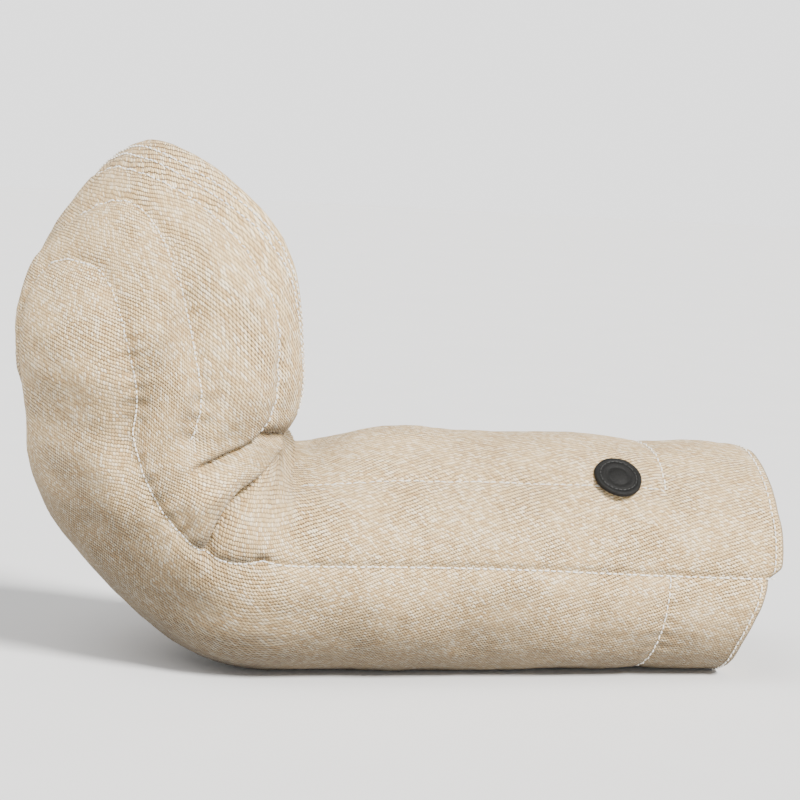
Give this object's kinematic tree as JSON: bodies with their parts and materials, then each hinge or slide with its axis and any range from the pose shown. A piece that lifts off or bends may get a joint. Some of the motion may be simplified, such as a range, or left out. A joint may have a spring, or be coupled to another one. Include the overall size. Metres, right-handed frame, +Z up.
{
  "type": "dog training bite sleeve",
  "caption": "Padded jute bite sleeve for dog training: forearm tube with an inner hand grip, soft bent elbow and a quilted shoulder shield.",
  "frame": {"origin": "on the flat underside of the forearm, half way between the hand opening and the elbow", "axes": "+X along the forearm to the hand opening, +Z up, -Y is the side that shows the near leather disc"},
  "size_m": [0.5545, 0.203, 0.3678],
  "materials": {
    "jute": "coarse jute twill, natural",
    "foam": "open foam padding",
    "lining": "smooth dark lining cloth",
    "stiff_plastic": "stiff formed sheet",
    "grip_plastic": "smooth tube",
    "steel": "plain steel",
    "black_leather": "black leather, stitched ring"
  },
  "bodies": {
    "forearm": {"forearm_cover": "jute", "forearm_padding": "foam", "bottom_bite_pad": "foam", "top_bite_pad": "foam", "forearm_core": "stiff_plastic", "forearm_lining": "lining", "hand_end_hem": "jute", "grip_rod": "steel", "grip_disc_near": "black_leather", "grip_disc_far": "black_leather", "grip_washer_near": "steel", "grip_washer_far": "steel", "elbow_cover": "jute", "elbow_padding": "foam", "elbow_lining": "lining"},
    "grip": {"grip_tube": "grip_plastic"},
    "shield": {"shield_cover": "jute", "shield_pad_rim": "foam", "shield_pad_outer": "foam", "shield_pad_inner": "foam", "shield_pad_centre": "foam", "shield_stiffener": "stiff_plastic", "shield_lining": "lining", "shield_rim_hem": "jute"}
  },
  "joints": [
    {"name": "elbow_flex", "type": "hinge", "parent": "forearm", "child": "shield", "pos_m": [-0.232, 0, 0.113], "axis": [0, 1, 0], "range_deg": [-25, 15], "deforming": ["elbow_cover", "elbow_padding", "elbow_lining"]},
    {"name": "grip_spin", "type": "hinge", "parent": "forearm", "child": "grip", "pos_m": [0.062, 0, 0.0792], "axis": [0, -0.6225, 0.7826], "continuous": true}
  ]
}
